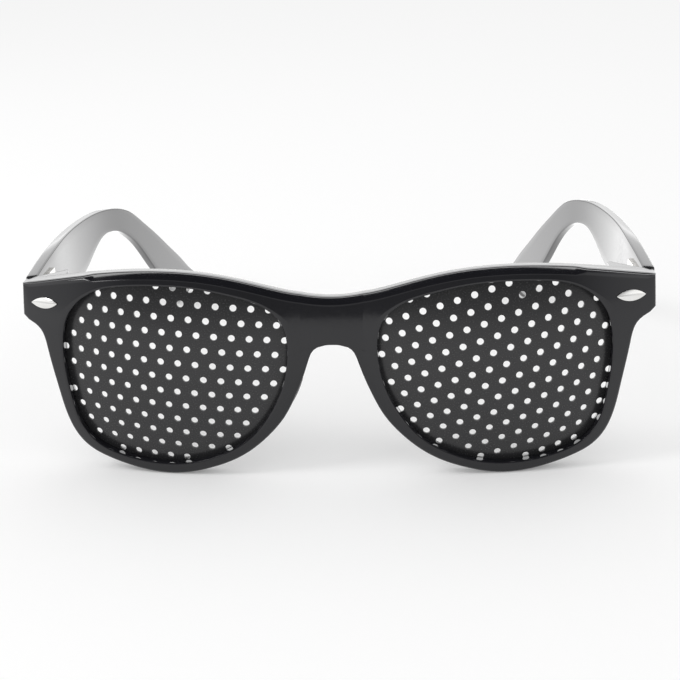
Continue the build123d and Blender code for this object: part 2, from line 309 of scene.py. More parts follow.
def newTree(name, inputs, output):
    tree = bpy.data.node_groups.new(name, "GeometryNodeTree")
    for label, kind in inputs:
        tree.interface.new_socket(
            name=label, in_out="INPUT", socket_type="NodeSocket" + kind
        )
    tree.interface.new_socket(
        name=output, in_out="OUTPUT", socket_type="NodeSocketGeometry"
    )
    start = tree.nodes.new("NodeGroupInput").outputs
    end = tree.nodes.new("NodeGroupOutput").inputs
    return tree, start, end


def fromNodes(name, mesh, tree, values):
    helper = bpy.data.objects.new(name + "Source", mesh)
    scene.collection.objects.link(helper)
    modifier = helper.modifiers.new("nodes", "NODES")
    modifier.node_group = tree
    for item in tree.interface.items_tree:
        if item.item_type == "SOCKET" and item.name in values:
            modifier[item.identifier] = values[item.name]
    depsgraph = bpy.context.evaluated_depsgraph_get()
    evaluated = helper.evaluated_get(depsgraph)
    result = bpy.data.meshes.new_from_object(evaluated, depsgraph=depsgraph)
    helper.modifiers.remove(modifier)
    bpy.data.objects.remove(helper)
    return result


# the front is a flat slab with rounded edges, bent onto two ball halves and a bridge band
front = {
    "halfWidth": 72.8,
    "height": 49.0,
    "thickness": 4.0,
    "radius": 96.0,
    "middleX": 29.0,
    "middleZ": 22.7,
    "creaseX": 7.0,
    "edgeRound": 0.5,
    "topRound": 1.1,  # along the brow
    "topFadeX": (70.7, 72.5),
    "bevelDrop": 1.35,
    "bevelDepth": 1.7,
    "bevelEndX": (54.0, 56.2),
    "grooveDepth": 0.9,
    "grooveSpan": (1.95, 2.45),
    "step": 0.9,
    "faceSteps": 9,
    "backSteps": 7,
    "middleSteps": 9,
    "middleGap": 0.3,
    "lineSteps": 1200,
    "openingMiddle": (36.0, 24.8),
    "endCornerShare": 0.76,
    "browShares": [
        (0, 0.863), (0.103, 0.879), (0.206, 0.921), (0.343, 0.973), (0.549, 1), (0.755, 0.975),
        (0.997, 0.906),
    ],
    "footShares": [
        (0.981, 0.737), (0.941, 0.704), (0.919, 0.612), (0.893, 0.408), (0.867, 0.235),
        (0.842, 0.161), (0.808, 0.109), (0.76, 0.071), (0.687, 0.034), (0.618, 0.01), (0.549, 0),
        (0.48, 0.008), (0.412, 0.033), (0.343, 0.07), (0.275, 0.127), (0.21, 0.21), (0.158, 0.302),
        (0.12, 0.408), (0.089, 0.52), (0.073, 0.59), (0.062, 0.622), (0.041, 0.643), (0, 0.651),
    ],
    "openingShares": [
        (0.14, 0.653), (0.155, 0.755), (0.211, 0.839), (0.303, 0.892), (0.412, 0.928),
        (0.549, 0.941), (0.646, 0.934), (0.727, 0.911), (0.797, 0.85), (0.837, 0.774),
        (0.857, 0.653), (0.858, 0.52), (0.846, 0.367), (0.824, 0.235), (0.783, 0.153),
        (0.687, 0.087), (0.549, 0.058), (0.44, 0.076), (0.343, 0.13), (0.268, 0.204),
        (0.206, 0.318), (0.162, 0.449), (0.143, 0.571),
    ],
    # both sections of an edge, from the face to the side, as shares of its drop and depth
    "roundShares": [(1, 0), (0.62, 0.08), (0.29, 0.29), (0.08, 0.62), (0, 1)],
    "bevelShares": [(1, 0), (0.93, 0.03), (0.14, 0.74), (0.04, 0.86), (0, 1)],
}


def scaled(shares):
    return [(x * front["halfWidth"], z * front["height"]) for x, z in shares]


def bothHalves(shares):
    half = sorted(scaled(shares))
    return [(-x, z) for x, z in half if x > 0][::-1] + half


def depthAt(x, z, inward):
    # how far back a surface lies that is `inward` under the front's face
    radius = front["radius"] - inward
    sideways = max(abs(x), front["creaseX"]) - front["middleX"]
    if abs(x) < front["creaseX"]:
        radius = sqrt(radius**2 - (front["creaseX"] - front["middleX"]) ** 2)
        sideways = 0
    return front["radius"] - sqrt(max(radius**2 - sideways**2 - (z - front["middleZ"]) ** 2, 0))


def bendSlab(x, depth, z):
    near = depthAt(x, z, 0)
    far = depthAt(x, z, front["thickness"])
    return near + (far - near) * depth / front["thickness"]


lineCount = 2 * front["lineSteps"] + 1
browLine = smoothLine(bothHalves(front["browShares"]), lineCount)[front["lineSteps"] :]
footLine = smoothLine(bothHalves(front["footShares"]), lineCount)[: front["lineSteps"] - 1 : -1]
browLine[0, 0] = footLine[-1, 0] = 0
endCorner = np.array((front["halfWidth"], front["endCornerShare"] * front["height"]))
openingLine = smoothLine(scaled(front["openingShares"]), 1441, closed=True)[:-1]


def openingAt(point):
    # the opening's edge in the direction of a point, and the way out of the opening there
    middle = np.array(front["openingMiddle"])
    angles = np.unwrap(np.arctan2(*(openingLine - middle).T[::-1]))
    if angles[-1] < angles[0]:
        line, angles = openingLine[::-1], angles[::-1]
    else:
        line = openingLine
    aim = atan2(point[1] - middle[1], point[0] - middle[0])
    aim = angles[0] + (aim - angles[0]) % tau
    closedLine = np.vstack([line, line[:1]])
    closedAngles = np.append(angles, angles[0] + tau)
    spot = np.array([np.interp(aim, closedAngles, closedLine[:, i]) for i in (0, 1)])
    i = min(int(np.searchsorted(closedAngles, aim)), len(line) - 1)
    along = line[(i + 2) % len(line)] - line[i - 2]
    along /= hypot(*along)
    return spot, np.array([along[1], -along[0]])


def outerStations():
    # once round the wearer's left half, clockwise from the top of the bridge
    x, step = browLine[:, 0], front["step"]
    start, stop = front["bevelEndX"][0] - 1, front["bevelEndX"][1] + 1
    lines = [
        evenSteps(browLine[x <= start], step),
        evenSteps(browLine[(x > start) & (x < stop)], step / 4),  # finer where the bevel ends
        evenSteps(browLine[x >= stop], step),
        evenSteps(np.array([browLine[-1], endCorner]), step),
        evenSteps(np.array([endCorner, footLine[0]]), step / 2),
        evenSteps(footLine, step),
    ]
    top = browLine[0, 1] - front["bevelDrop"] - front["middleGap"]
    low = footLine[-1, 1] + front["edgeRound"] + front["middleGap"]
    middle = [(0.0, z) for z in np.linspace(low, top, front["middleSteps"])]
    path = np.vstack([line[:-1] for line in lines] + [footLine[-1:], np.array(middle)])
    counts = [len(line) - 1 for line in lines]
    kinds = ["brow"] * sum(counts[:3]) + ["end"] * sum(counts[3:5])
    kinds += ["foot"] * len(lines[5]) + ["middle"] * len(middle)
    return path, kinds


def inwardNormals(path):
    # the way in at each point of a clockwise outline, longer where the outline turns
    normals = []
    for i, here in enumerate(path):
        before = here - path[i - 1]
        after = path[(i + 1) % len(path)] - here
        a = np.array([before[1], -before[0]]) / hypot(*before)
        b = np.array([after[1], -after[0]]) / hypot(*after)
        normals.append((a + b) / (1 + a @ b))
    return normals


def rimRing(outer, inward, kind):
    # the closed section of the rim at one station, as x, depth, z
    inner, outward = openingAt(outer)
    r, thick = front["edgeRound"], front["thickness"]
    big, bevel = r, 0.0
    if kind == "brow":
        start, stop = front["topFadeX"]
        big += (front["topRound"] - r) * unit((stop - outer[0]) / (stop - start))
        start, stop = front["bevelEndX"]
        bevel = 1 - unit((outer[0] - start) / (stop - start))
    drop = big + (front["bevelDrop"] - big) * bevel
    depth = big + (front["bevelDepth"] - big) * bevel
    keep = 0.0 if kind == "middle" else 1.0
    ring = []

    def innerPoint(offset, deep):
        spot = inner + outward * offset
        ring.append((spot[0], deep, spot[1]))

    def outerPoint(offset, deep):
        spot = outer + inward * offset * keep
        ring.append((spot[0], deep, spot[1]))

    def across(steps, deep, start, stop):
        for k in range(1, steps):
            spot = start + (stop - start) * k / steps
            ring.append((spot[0], deep, spot[1]))

    rounded, bevelled = front["roundShares"], front["bevelShares"]
    for share, deepShare in rounded[::-1]:
        innerPoint(r * share, r * deepShare)
    across(front["faceSteps"], 0, inner + outward * r, outer + inward * drop * keep)
    for (a, b), (c, d) in zip(rounded, bevelled):
        outerPoint(drop * (a + (c - a) * bevel), depth * (b + (d - b) * bevel))
    for share, deepShare in rounded[::-1]:
        outerPoint(r * share, thick - r * deepShare)
    across(front["backSteps"], thick, outer + inward * r * keep, inner + outward * r)
    for share, deepShare in rounded:
        innerPoint(r * share, thick - r * deepShare)
    near, far = front["grooveSpan"]
    groove = front["grooveDepth"]
    for offset, deep in ((0, far), (groove, far), (groove, near), (0, near)):
        innerPoint(offset, deep)
    return ring


def bentRim():
    path, kinds = outerStations()
    normals = inwardNormals(path)
    normals[0] = np.array((0.0, -1.0))
    normals[kinds.index("middle") - 1] = np.array((0.0, 1.0))
    rings = [rimRing(o, n, k) for o, n, k in zip(path, normals, kinds)]
    points = [p for ring in rings for p in ring]
    half = meshFrom("rimHalf", points, bands(len(rings), len(rings[0]), closed=True))
    work = bmesh.new()
    work.from_mesh(half)
    everything = work.verts[:] + work.edges[:] + work.faces[:]
    crease = (front["creaseX"], 0, 0)
    bmesh.ops.bisect_plane(work, geom=everything, plane_co=crease, plane_no=(1, 0, 0), dist=1e-5)
    inMiddle = [f for f in work.faces if all(abs(v.co.x) < 1e-4 for v in f.verts)]
    bmesh.ops.delete(work, geom=inMiddle, context="FACES")
    copy = bmesh.ops.duplicate(work, geom=work.verts[:] + work.edges[:] + work.faces[:])
    for item in copy["geom"]:
        if isinstance(item, bmesh.types.BMVert):
            item.co.x = -item.co.x
    bmesh.ops.remove_doubles(work, verts=work.verts, dist=1e-4)
    loose = [v for v in work.verts if not v.link_faces]
    bmesh.ops.delete(work, geom=loose, context="VERTS")
    flat = endPad["backY"] - endPad["rimShy"]
    for vert in work.verts:
        vert.co.y = min(bendSlab(vert.co.x, vert.co.y, vert.co.z), flat)
    bmesh.ops.recalc_face_normals(work, faces=work.faces)
    work.to_mesh(half)
    work.free()
    return half


endPad = {
    "innerX": 63.4,
    "slope": 1.4,
    "slopePast": 0.4,
    "bottomZ": 35.9,
    "backY": 16.9,
    "round": 0.22,
    "hold": 0.4,  # keeps the walls' shading flat
    "slack": 0.05,
    "buried": 1.6,
    "flush": 0.01,
    "rimShy": 0.03,
}


def endPadMesh(side):
    # the thick end: the front's outline carried back to a flat face
    inside, past = endPad["innerX"] - endPad["slope"], endPad["innerX"] + endPad["slopePast"]
    inner = np.linspace(inside, past, 4)[:-1]
    lowLine = footLine[(footLine[:, 1] > endPad["bottomZ"]) & (footLine[:, 0] > inside)]
    bottom = [*np.linspace(lowLine[-1, 0] - 0.5, inner[-1], 6), *inner[-2::-1]]
    loop = np.vstack(
        [
            np.c_[inner, np.interp(inner, *browLine.T)],
            evenSteps(browLine[browLine[:, 0] > past], 1.0),
            endCorner,
            evenSteps(lowLine, 0.5),
            [(x, endPad["bottomZ"]) for x in bottom],
        ]
    )
    points = []
    levels = [("front", 0.0), ("hold", 0.0), ("wall", 0.0), ("wall", 0.3), ("back", 1.0)]
    for kind, share in levels:
        for here, normal in zip(loop, inwardNormals(loop)):
            onSlope = abs(here[0] - inside) < endPad["slack"]
            cut = endPad["slope"] if onSlope else endPad["round"]
            spot = here + normal * endPad["flush"]
            if kind == "front":
                y = bendSlab(spot[0], endPad["buried"], spot[1])
            elif kind == "hold":
                y = endPad["backY"] - cut - endPad["hold"]
            elif kind == "wall":
                spot = spot + normal * cut * share * share
                y = endPad["backY"] - cut * (1 - share)
            else:
                spot = here + np.array([normal[0] * cut, normal[1] * endPad["round"]])
                y = endPad["backY"]
            inFront = bendSlab(spot[0], endPad["buried"], spot[1])
            y = max(y, inFront + endPad["slack"] * share)
            points.append((side * spot[0], y, spot[1]))
    size, last = len(loop), len(points)
    faces = [tuple(range(size)), tuple(range(last - size, last))]
    return meshFrom("endPad", points, faces + bands(len(levels), size))


noseRest = {
    "x": 10.4,
    "z": 20.4,
    "length": 15.0,
    "width": 4.2,
    "backY": 11.0,
    "lean": 25.0,
    "sunk": 0.3,
}


def noseRestMesh(side):
    start = depthAt(noseRest["x"], noseRest["z"], front["thickness"])
    work = bmesh.new()
    bmesh.ops.create_uvsphere(work, u_segments=40, v_segments=24, radius=1)
    turn = Matrix.Rotation(radians(-side * noseRest["lean"]), 3, "Y")
    for vert in work.verts:
        deep = vert.co.y * (noseRest["backY"] - start)
        vert.co.y = deep if deep > 0 else deep * noseRest["sunk"]
        vert.co.x *= noseRest["width"] / 2
        vert.co.z *= noseRest["length"] / 2
        vert.co = turn @ vert.co + Vector((side * noseRest["x"], start, noseRest["z"]))
    mesh = bpy.data.meshes.new("noseRest")
    work.to_mesh(mesh)
    work.free()
    return mesh


def joined(name, meshes):
    work = bmesh.new()
    for mesh in meshes:
        work.from_mesh(mesh)
    result = bpy.data.meshes.new(name)
    work.to_mesh(result)
    work.free()
    return result


def onCrease(edge):
    return all(abs(abs(v.co.x) - front["creaseX"] * mm) < 1e-6 for v in edge.verts)


rivet = {
    "length": 7.5,
    "height": 2.5,
    "wall": 0.14,
    "crown": 0.33,
    "sunk": 0.45,
    "play": 0.12,
    "pocket": 0.5,
    "x": 66.6,
    "z": 40.7,
    "tilt": -3.0,
    "templeY": 26.9,
    "templeZ": 40.4,
    "gridSteps": (61, 23),
}


def rivetPose(side):
    # where a front rivet sits: its middle, the way out of the face, and the way along it
    y = depthAt(rivet["x"], rivet["z"], 0)
    place = Vector((side * rivet["x"], y, rivet["z"]))
    centre = Vector((side * front["middleX"], front["radius"], front["middleZ"]))
    out = (place - centre).normalized()
    level = up.cross(out).normalized()
    tilt = radians(side * rivet["tilt"])
    return place, out, level * cos(tilt) + out.cross(level) * sin(tilt)


def almondOutline(grow, count=24):
    half, tall = rivet["length"] / 2 + grow, rivet["height"] / 2 + grow
    bow = (half**2 + tall**2) / (2 * tall)
    upper = []
    for a in np.linspace(0, pi, count + 1):
        x = half * cos(a)
        upper.append((x, sqrt(bow**2 - x**2) - bow + tall))
    return upper + [(x, -y) for x, y in upper[-2:0:-1]]


def cutPockets(mesh):
    # the rivets' seats in the face, a little wider than the rivets
    body = bpy.data.objects.new("rim", mesh)
    scene.collection.objects.link(body)
    cutters = []
    loop = almondOutline(rivet["play"])
    count = len(loop)
    for side in (-1, 1):
        place, out, along = rivetPose(side)
        across = out.cross(along)
        points = [
            place + along * x + across * y + out * d
            for d in (-rivet["pocket"], 1.0)
            for x, y in loop
        ]
        ends = [tuple(range(count)), tuple(range(count, 2 * count))]
        tool = meshFrom("pocket", points, ends + bands(2, count))
        work = bmesh.new()
        work.from_mesh(tool)
        bmesh.ops.recalc_face_normals(work, faces=work.faces)
        work.to_mesh(tool)
        work.free()
        cutter = bpy.data.objects.new("pocket", tool)
        scene.collection.objects.link(cutter)
        cutters.append(cutter)
        cut = body.modifiers.new("pocket", "BOOLEAN")
        cut.operation, cut.solver, cut.object = "DIFFERENCE", "EXACT", cutter
    depsgraph = bpy.context.evaluated_depsgraph_get()
    result = bpy.data.meshes.new_from_object(body.evaluated_get(depsgraph), depsgraph=depsgraph)
    body.modifiers.clear()
    for item in [body] + cutters:
        bpy.data.objects.remove(item)
    return result


ends = [shape(side) for shape in (endPadMesh, noseRestMesh) for side in (-1, 1)]
frontMesh = joined("frontShell", [cutPockets(bentRim())] + ends)
makePiece(
    "frontShell", frontMesh, "front", "glossBlack", ["front_frame"], 28, onCrease
)
print("front made")


# the sheets are drawn flat by geometry nodes and pressed to the front's curve
sheet = {
    "recess": 2.0,
    "thickness": 0.4,
    "edgeBeyond": 0.85,
    "pitch": 4.0,
    "holeDiameter": 1.55,
    "land": 0.15,
    "middleX": 36.0,
    "middleZ": 24.8,
    "latticeSteps": 30,
    "cellSteps": (25, 4),
    "fillReach": 0.7,  # of the pitch
    "trimReach": 0.4,
    "outlineSteps": 180,
    "sides": {
        "left": {"side": 1, "turn": 17.1, "shift": (-1.0, 1.26)},
        "right": {"side": -1, "turn": -5.2, "shift": (-1.54, 0.16)},
    },
}


def buildSheetTree():
    tree, start, end = newTree(
        "perforatedSheet",
        [
            ("outline", "Geometry"),
            ("pitch", "Float"),
            ("holeDiameter", "Float"),
            ("land", "Float"),
            ("turn", "Float"),
            ("shift", "Vector"),
            ("thickness", "Float"),
            ("finish", "Material"),
        ],
        "sheet",
    )
    put, number = toolsFor(tree)
    pitch, outline = start["pitch"], start["outline"]
    holeRadius = number("MULTIPLY", start["holeDiameter"], 0.5)
    here = put("GeometryNodeInputPosition")
    x, y = addNode(tree, "ShaderNodeSeparateXYZ", {0: here}).outputs[:2]

    # rows of equal triangles over more than the whole sheet
    steps = sheet["latticeSteps"]
    lattice = put(
        "GeometryNodeMeshGrid",
        {
            "Size X": number("MULTIPLY", pitch, float(steps)),
            "Size Y": number("MULTIPLY", pitch, steps * sqrt(3) / 2),
            "Vertices X": steps + 1,
            "Vertices Y": steps + 1,
        },
    )
    shearedX = number("ADD", x, number("MULTIPLY", y, 1 / sqrt(3)))
    sheared = put("ShaderNodeCombineXYZ", {0: shearedX, 1: y})
    turned = put(
        "ShaderNodeVectorRotate",
        {"Vector": sheared, "Angle": start["turn"]},
        rotation_type="Z_AXIS",
    )
    moved = put("ShaderNodeVectorMath", {0: turned, 1: start["shift"]}, operation="ADD")
    places = put("GeometryNodeSetPosition", {"Geometry": lattice, "Position": moved})

    # which cells get a hole, and which only fill the edge
    toFace = addNode(tree, "GeometryNodeProximity", {0: outline}, target_element="FACES")
    toEdge = addNode(tree, "GeometryNodeProximity", {0: outline}, target_element="EDGES")
    faceGap, edgeGap = toFace.outputs["Distance"], toEdge.outputs["Distance"]
    near = number("LESS_THAN", faceGap, number("MULTIPLY", pitch, sheet["fillReach"]))
    inside = number("LESS_THAN", faceGap, 0.001)
    clear = number("GREATER_THAN", edgeGap, number("ADD", holeRadius, start["land"]))
    holed = number("MULTIPLY", inside, clear)
    plain = number("MULTIPLY", near, number("SUBTRACT", 1.0, holed))

    # one six-sided cell, from its hole out to its neighbours
    around, outwards = sheet["cellSteps"]
    blank = put(
        "GeometryNodeMeshGrid",
        {"Size X": 1.0, "Size Y": 1.0, "Vertices X": around, "Vertices Y": outwards},
    )
    angle = number("MULTIPLY", number("ADD", x, 0.5), tau)
    fold = number("FLOORED_MODULO", number("ADD", angle, pi / 6), pi / 3)
    edge = number(
        "DIVIDE",
        number("MULTIPLY", pitch, 0.5),
        number("COSINE", number("SUBTRACT", fold, pi / 6)),
    )
    share = number("ADD", y, 0.5)
    turn = put("ShaderNodeCombineXYZ", {2: start["turn"]})
    together = addNode(tree, "GeometryNodeJoinGeometry")
    for chosen, radius in ((holed, holeRadius), (plain, 0.0)):
        away = number("ADD", radius, number("MULTIPLY", share, number("SUBTRACT", edge, radius)))
        acrossX = number("MULTIPLY", away, number("COSINE", angle))
        acrossY = number("MULTIPLY", away, number("SINE", angle))
        spot = put("ShaderNodeCombineXYZ", {0: acrossX, 1: acrossY})
        cell = put("GeometryNodeSetPosition", {"Geometry": blank, "Position": spot})
        copies = put(
            "GeometryNodeInstanceOnPoints",
            {
                "Points": places,
                "Selection": number("GREATER_THAN", chosen, 0.5),
                "Instance": cell,
                "Rotation": turn,
            },
        )
        tree.links.new(put("GeometryNodeRealizeInstances", {0: copies}), together.inputs[0])
    net = put(
        "GeometryNodeMergeByDistance", {"Geometry": together.outputs[0], "Distance": 0.01}
    )

    # trim to the outline
    rim = addNode(tree, "GeometryNodeProximity", {0: outline}, target_element="FACES")
    rimGap = rim.outputs["Distance"]
    trimmed = put(
        "GeometryNodeDeleteGeometry",
        {"Geometry": net, "Selection": number("GREATER_THAN", rimGap, sheet["trimReach"])},
        domain="FACE",
    )
    snapped = put(
        "GeometryNodeSetPosition",
        {
            "Geometry": trimmed,
            "Selection": number("GREATER_THAN", rimGap, 0.0001),
            "Position": rim.outputs["Position"],
        },
    )
    clean = put("GeometryNodeMergeByDistance", {"Geometry": snapped, "Distance": 0.004})
    thick = put(
        "GeometryNodeExtrudeMesh",
        {
            "Mesh": clean,
            "Offset": (0, 0, -1),
            "Offset Scale": start["thickness"],
            "Individual": False,
        },
        mode="FACES",
    )
    shell = addNode(tree, "GeometryNodeJoinGeometry", {0: thick})
    tree.links.new(put("GeometryNodeFlipFaces", {"Mesh": clean}), shell.inputs[0])
    closed = put(
        "GeometryNodeMergeByDistance", {"Geometry": shell.outputs[0], "Distance": 0.002}
    )
    real = put("GeometryNodeRealizeInstances", {0: closed})
    done = put("GeometryNodeSetMaterial", {"Geometry": real, "Material": start["finish"]})
    tree.links.new(done, end["sheet"])
    return tree


def sheetFrame(side):
    # where the sheet touches its flat pattern: middle of the ball, way out, across and up
    centre = Vector((side * front["middleX"], front["radius"], front["middleZ"]))
    y = depthAt(sheet["middleX"], sheet["middleZ"], sheet["recess"])
    out = (Vector((side * sheet["middleX"], y, sheet["middleZ"])) - centre).normalized()
    across = up.cross(out).normalized()
    return centre, out, across, out.cross(across)


def flatSheetOutline(side):
    centre, out, across, tall = sheetFrame(side)
    radius = front["radius"] - sheet["recess"]
    loop = []
    for i in range(sheet["outlineSteps"]):
        a = tau * i / sheet["outlineSteps"]
        aim = np.array(front["openingMiddle"]) + np.array((cos(a), sin(a)))
        spot, outward = openingAt(aim)
        spot = spot + outward * sheet["edgeBeyond"]
        y = depthAt(spot[0], spot[1], sheet["recess"])
        way = (Vector((side * spot[0], y, spot[1])) - centre).normalized()
        arc = acos(min(1, way.dot(out)))
        reach = radius * arc / max(sin(arc), 1e-9)
        loop.append((reach * way.dot(across), reach * way.dot(tall), 0.0))
    if side < 0:
        loop.reverse()
    return meshFrom("sheetOutline", loop, [tuple(range(len(loop)))])


def pressSheet(mesh, side):
    centre, out, across, tall = sheetFrame(side)
    radius = front["radius"] - sheet["recess"]
    for vert in mesh.vertices:
        s, v, deep = vert.co
        away = hypot(s, v)
        arc = away / radius
        flat = (across * s + tall * v) / away if away > 1e-9 else Vector((0, 0, 0))
        vert.co = centre + (out * cos(arc) + flat * sin(arc)) * (radius + deep)


sheetTree = buildSheetTree()
for name, place in sheet["sides"].items():
    values = {key: sheet[key] for key in ("pitch", "holeDiameter", "land", "thickness")}
    values["turn"] = radians(place["turn"])
    values["shift"] = (*place["shift"], 0.0)
    values["finish"] = materials["satinSheet"]
    outline = flatSheetOutline(place["side"])
    pressed = fromNodes(name + "Sheet", outline, sheetTree, values)
    pressSheet(pressed, place["side"])
    makePiece(name + "Sheet", pressed, "front", "satinSheet", [name + "_lens"])
print("sheets made")


# each temple follows its outline from the side and two lines from above
temple = {
    "buttY": 17.4,
    "reach": 128.0,
    "height": 46.6,
    "seatX": 70.4,
    "seatLength": 14.0,
    "edgeRound": 0.45,
    "turn": 1.9,
    "pivot": (66.8, 19.3),
    "stations": 96,
    "stationEnd": 0.97,
    "tipStations": [0.976, 0.982, 0.987, 0.991, 0.9945, 0.997, 0.9988],
    "tipWay": (0.85, -0.53),
    "buttRings": [(0.14, 0), (0.04, 0.05), (0, 0.15)],  # how far in, how far back
    "edgeShares": [
        (0, 0.96), (0.109, 0.991), (0.25, 1), (0.367, 0.991), (0.461, 0.974), (0.555, 0.929),
        (0.625, 0.86), (0.688, 0.752), (0.773, 0.592), (0.844, 0.448), (0.922, 0.288),
        (0.98, 0.165), (0.998, 0.118), (0.985, 0.072), (0.942, 0.019), (0.895, 0), (0.852, 0.041),
        (0.797, 0.203), (0.727, 0.406), (0.641, 0.64), (0.598, 0.722), (0.555, 0.779),
        (0.52, 0.802), (0.48, 0.807), (0.441, 0.781), (0.406, 0.744), (0.375, 0.711),
        (0.336, 0.686), (0.289, 0.68), (0.215, 0.69), (0.141, 0.709), (0.07, 0.738), (0, 0.773),
    ],
    "outerShares": [
        (0, 1.003), (0.133, 1.004), (0.25, 1.003), (0.367, 0.994), (0.484, 0.969), (0.586, 0.931),
        (0.695, 0.89), (0.773, 0.861), (0.898, 0.815), (1.03, 0.766),
    ],
    "innerShares": [
        (0.18, 0.9695), (0.25, 0.972), (0.367, 0.965), (0.484, 0.94), (0.586, 0.903),
        (0.695, 0.862), (0.773, 0.833), (0.898, 0.787), (1.03, 0.738),
    ],
}


def planLine(shares, seat=False):
    line = [(temple["buttY"] + y * temple["reach"], x * front["halfWidth"]) for y, x in shares]
    if not seat:
        return smoothLine(line, 600)
    seatX, flatEnd = temple["seatX"], temple["buttY"] + temple["seatLength"]
    bent = smoothLine([(flatEnd - 1.0, seatX), (flatEnd, seatX)] + line, 600)
    bent[:, 1] = np.where(bent[:, 0] < flatEnd, seatX, bent[:, 1])
    return np.vstack([[(temple["buttY"] - 1, seatX)], bent])


def templeMesh(side):
    outerLine, innerLine = planLine(temple["outerShares"]), planLine(temple["innerShares"], True)
    reach, height = temple["reach"], temple["height"]
    places = [(temple["buttY"] + y * reach, z * height) for y, z in temple["edgeShares"]]
    edge = smoothLine(places, 4000)
    tip = int(np.argmax(edge @ np.array(temple["tipWay"])))
    top, foot = edge[: tip + 1], edge[tip:][::-1]
    corner = [(1 - sin(a), 1 - cos(a)) for a in np.linspace(0, pi / 2, 5)]

    def ring(share, inset, shift):
        # one section, from its top edge down to its foot and back
        a, b = atShare(top, share), atShare(foot, share)
        tall = hypot(*(b - a))
        down = (b - a) / max(tall, 1e-9)
        wide = np.interp(a[0], *outerLine.T) - np.interp(a[0], *innerLine.T)
        r = min(temple["edgeRound"], 0.42 * tall, 0.42 * wide)
        low, high = inset, tall - inset
        near, far = inset, wide - inset
        r = max(min(r, 0.49 * (high - low), 0.49 * (far - near)), 1e-4)
        between = [(high - low - 2 * r) * k / 6 for k in range(1, 6)]
        spots = [(low + r * p, near + r * q) for p, q in corner[::-1]]
        spots += [(low + r + step, near) for step in between]
        spots += [(high - r * p, near + r * q) for p, q in corner]
        spots += [(high - r * p, far - r * q) for p, q in corner[::-1]]
        spots += [(high - r - step, far) for step in between]
        spots += [(low + r * p, far - r * q) for p, q in corner]
        points = []
        for p, q in spots:
            y, z = a + down * p
            y += shift
            outerX = np.interp(y, *outerLine.T)
            innerX = np.interp(y, *innerLine.T)
            points.append((outerX - (outerX - innerX) * q / wide, y, z))
        return points

    count = temple["stations"]
    shares = [k / count * temple["stationEnd"] for k in range(1, count + 1)]
    rings = [ring(0, inset, shift) for inset, shift in temple["buttRings"]]
    rings += [ring(share, 0, 0) for share in shares + temple["tipStations"]]
    points = [p for one in rings for p in one]
    size, last = len(rings[0]), len(points)
    faces = [tuple(range(size)), tuple(range(last - size, last))]
    return meshFrom("temple", swung(points, side), faces + bands(len(rings), size))


def swung(points, side):
    # a left-hand place put on its own side and turned to where the temple stands
    px, py = temple["pivot"][0] * side, temple["pivot"][1]
    c, s = cos(radians(temple["turn"])), sin(radians(temple["turn"]))
    result = []
    for x, y, z in points:
        dx, dy = x * side - px, y - py
        result.append((px + dx * c - dy * s, py + dx * s + dy * c, z))
    return result


sides = (("left", 1), ("right", -1))
for name, side in sides:
    makePiece(
        name + "TempleArm",
        templeMesh(side),
        name + "_arm",
        "glossBlack",
        [name + "_temple"],
        35,
    )
print("temples made")


rivetSizes = ("length", "height", "wall", "crown", "sunk")


def buildRivetTree():
    sizes = [(size, "Float") for size in rivetSizes]
    inputs = [("seed", "Geometry"), *sizes, ("finish", "Material")]
    tree, start, end = newTree("almondRivet", inputs, "rivet")
    put, number = toolsFor(tree)
    a = number("MULTIPLY", start["length"], 0.5)
    b = number("MULTIPLY", start["height"], 0.5)
    squares = number("ADD", number("MULTIPLY", a, a), number("MULTIPLY", b, b))
    bow = number("DIVIDE", squares, number("MULTIPLY", b, 2.0))  # radius of each side of the almond
    along, over = rivet["gridSteps"]
    blank = put(
        "GeometryNodeMeshGrid",
        {"Size X": 2.0, "Size Y": 2.0, "Vertices X": along, "Vertices Y": over},
    )
    here = put("GeometryNodeInputPosition")
    u, v = addNode(tree, "ShaderNodeSeparateXYZ", {0: here}).outputs[:2]
    x = number("MULTIPLY", a, number("SINE", number("MULTIPLY", u, pi / 2)))
    square = number("SUBTRACT", number("MULTIPLY", bow, bow), number("MULTIPLY", x, x))
    rise = number("SUBTRACT", number("SQRT", square), number("SUBTRACT", bow, b))
    rise = number("MAXIMUM", rise, 0.0)
    half = (over - 1) / 2
    across = number("MULTIPLY", v, half / (half - 1))  # the outer rows are the wall's foot
    share = number("MAXIMUM", number("MINIMUM", across, 1.0), -1.0)
    y = number("MULTIPLY", rise, share)
    swell = number("MULTIPLY", start["crown"], number("DIVIDE", rise, b))
    dome = number("MULTIPLY", swell, number("SUBTRACT", 1.0, number("MULTIPLY", share, share)))
    atFoot = number("GREATER_THAN", number("ABSOLUTE", across), 1.001)
    sunk = number("MULTIPLY", number("ADD", start["sunk"], start["wall"]), atFoot)
    z = number("SUBTRACT", dome, number("SUBTRACT", sunk, start["wall"]))
    spot = put("ShaderNodeCombineXYZ", {0: x, 1: y, 2: z})
    shape = put("GeometryNodeSetPosition", {"Geometry": blank, "Position": spot})
    welded = put("GeometryNodeMergeByDistance", {"Geometry": shape, "Distance": 0.003})
    real = put("GeometryNodeRealizeInstances", {0: welded})
    done = put("GeometryNodeSetMaterial", {"Geometry": real, "Material": start["finish"]})
    tree.links.new(done, end["rivet"])
    return tree


